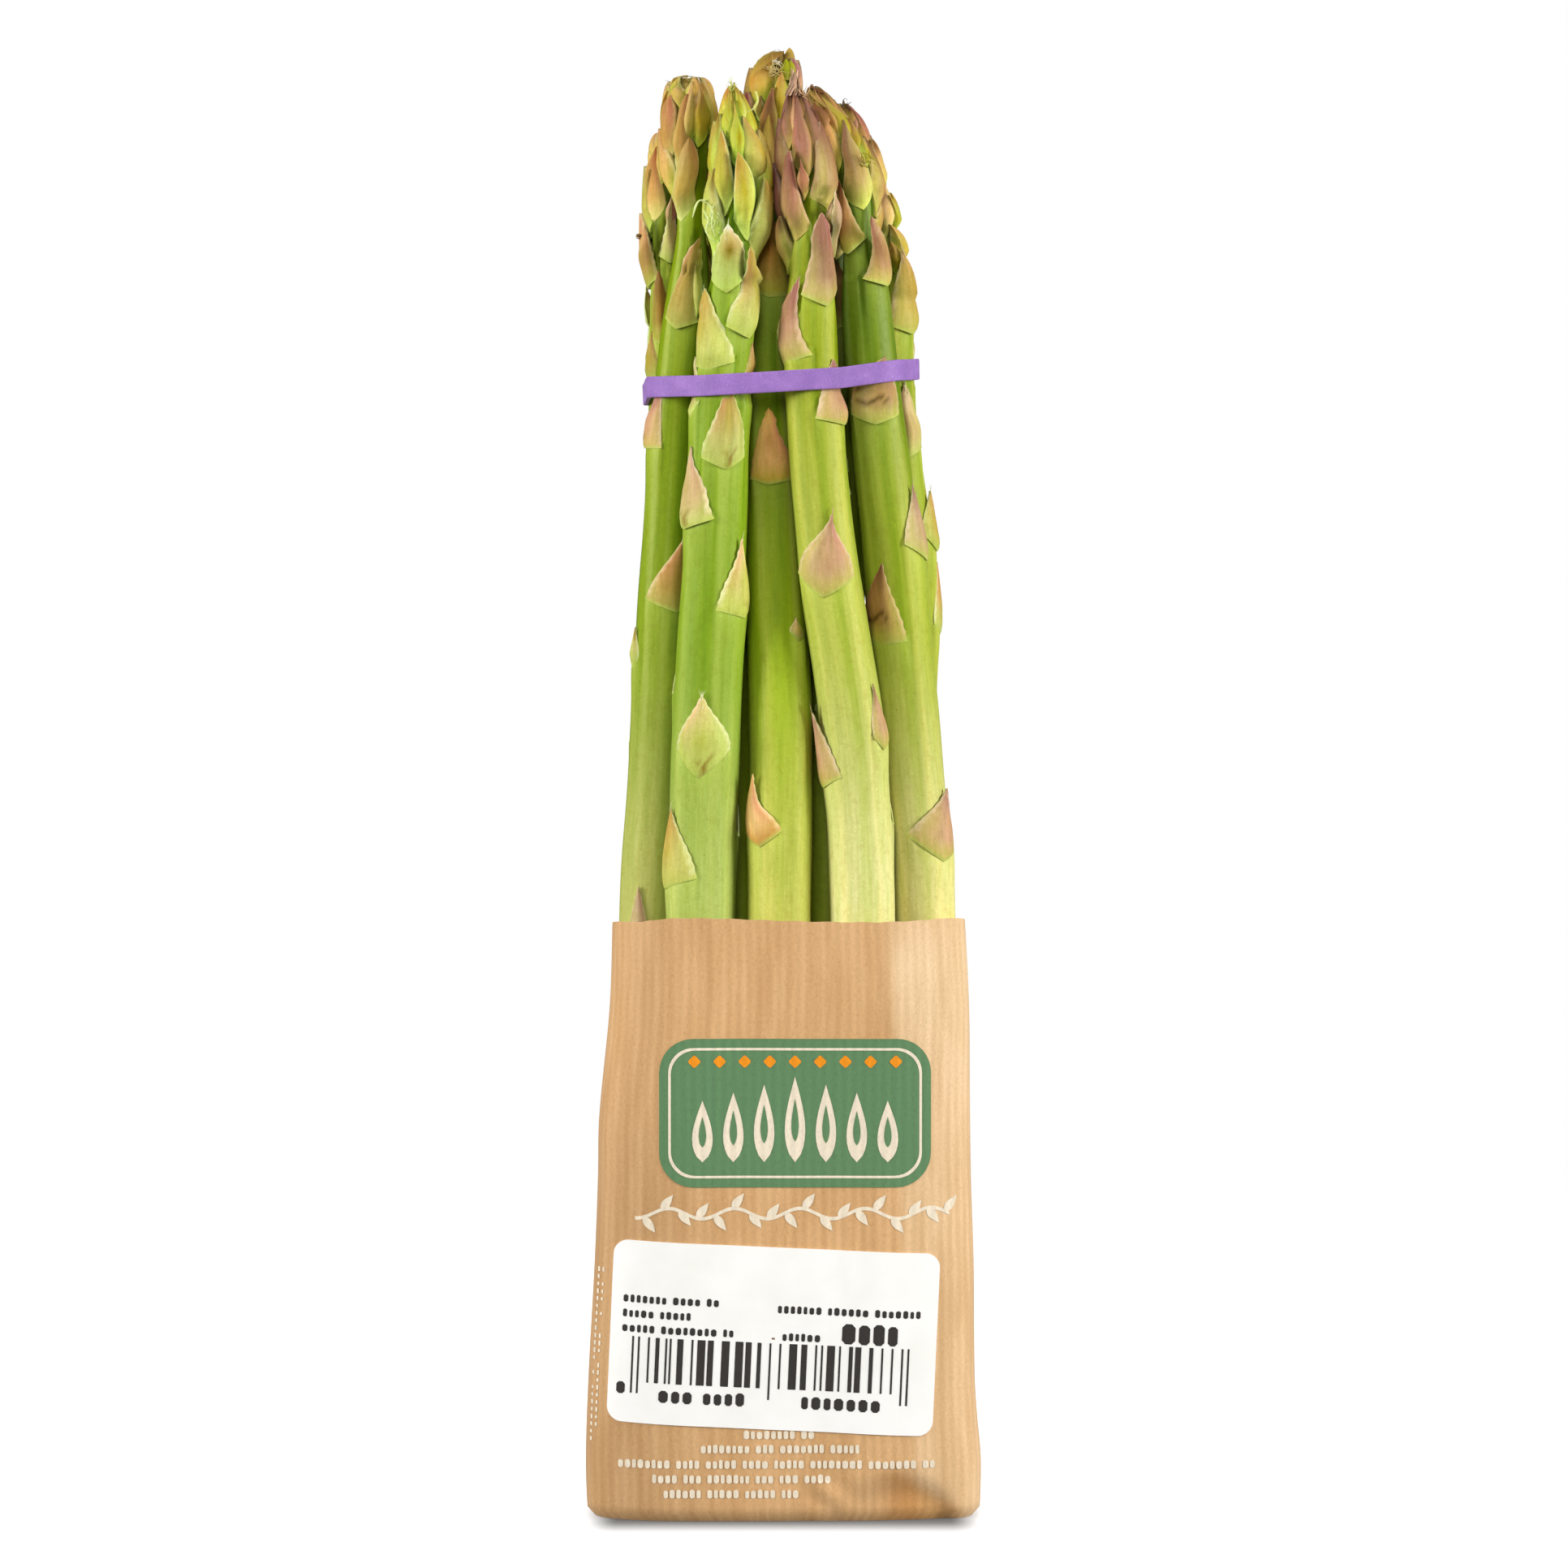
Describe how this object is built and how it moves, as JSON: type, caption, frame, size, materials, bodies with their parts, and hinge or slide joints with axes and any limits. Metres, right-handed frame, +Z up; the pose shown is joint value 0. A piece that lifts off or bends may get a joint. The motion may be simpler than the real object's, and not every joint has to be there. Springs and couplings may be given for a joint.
{
  "type": "bundle of asparagus",
  "caption": "Green asparagus spears with pointed scale leaves, standing upright in a flat-footed kraft paper sleeve and held near the tips by a tilted rubber band.",
  "frame": {"origin": "middle of the sleeve's flat foot, on the surface the bundle stands on", "axes": "+Z up along the spears, -Y towards the front with the label, +X to the front's right"},
  "size_m": [0.0694, 0.0396, 0.2584],
  "materials": {
    "asparagus": "satin",
    "kraft_paper": "matte",
    "band_rubber": "matte",
    "label_paper": "satin"
  },
  "bodies": {
    "root": {"spear_01": "asparagus", "spear_02": "asparagus", "spear_03": "asparagus", "spear_04": "asparagus", "spear_05": "asparagus", "spear_06": "asparagus", "spear_07": "asparagus", "spear_08": "asparagus", "spear_09": "asparagus", "spear_10": "asparagus", "spear_11": "asparagus", "spear_12": "asparagus", "paper_sleeve": "kraft_paper", "rubber_band": "band_rubber", "label": "label_paper"}
  },
  "joints": []
}
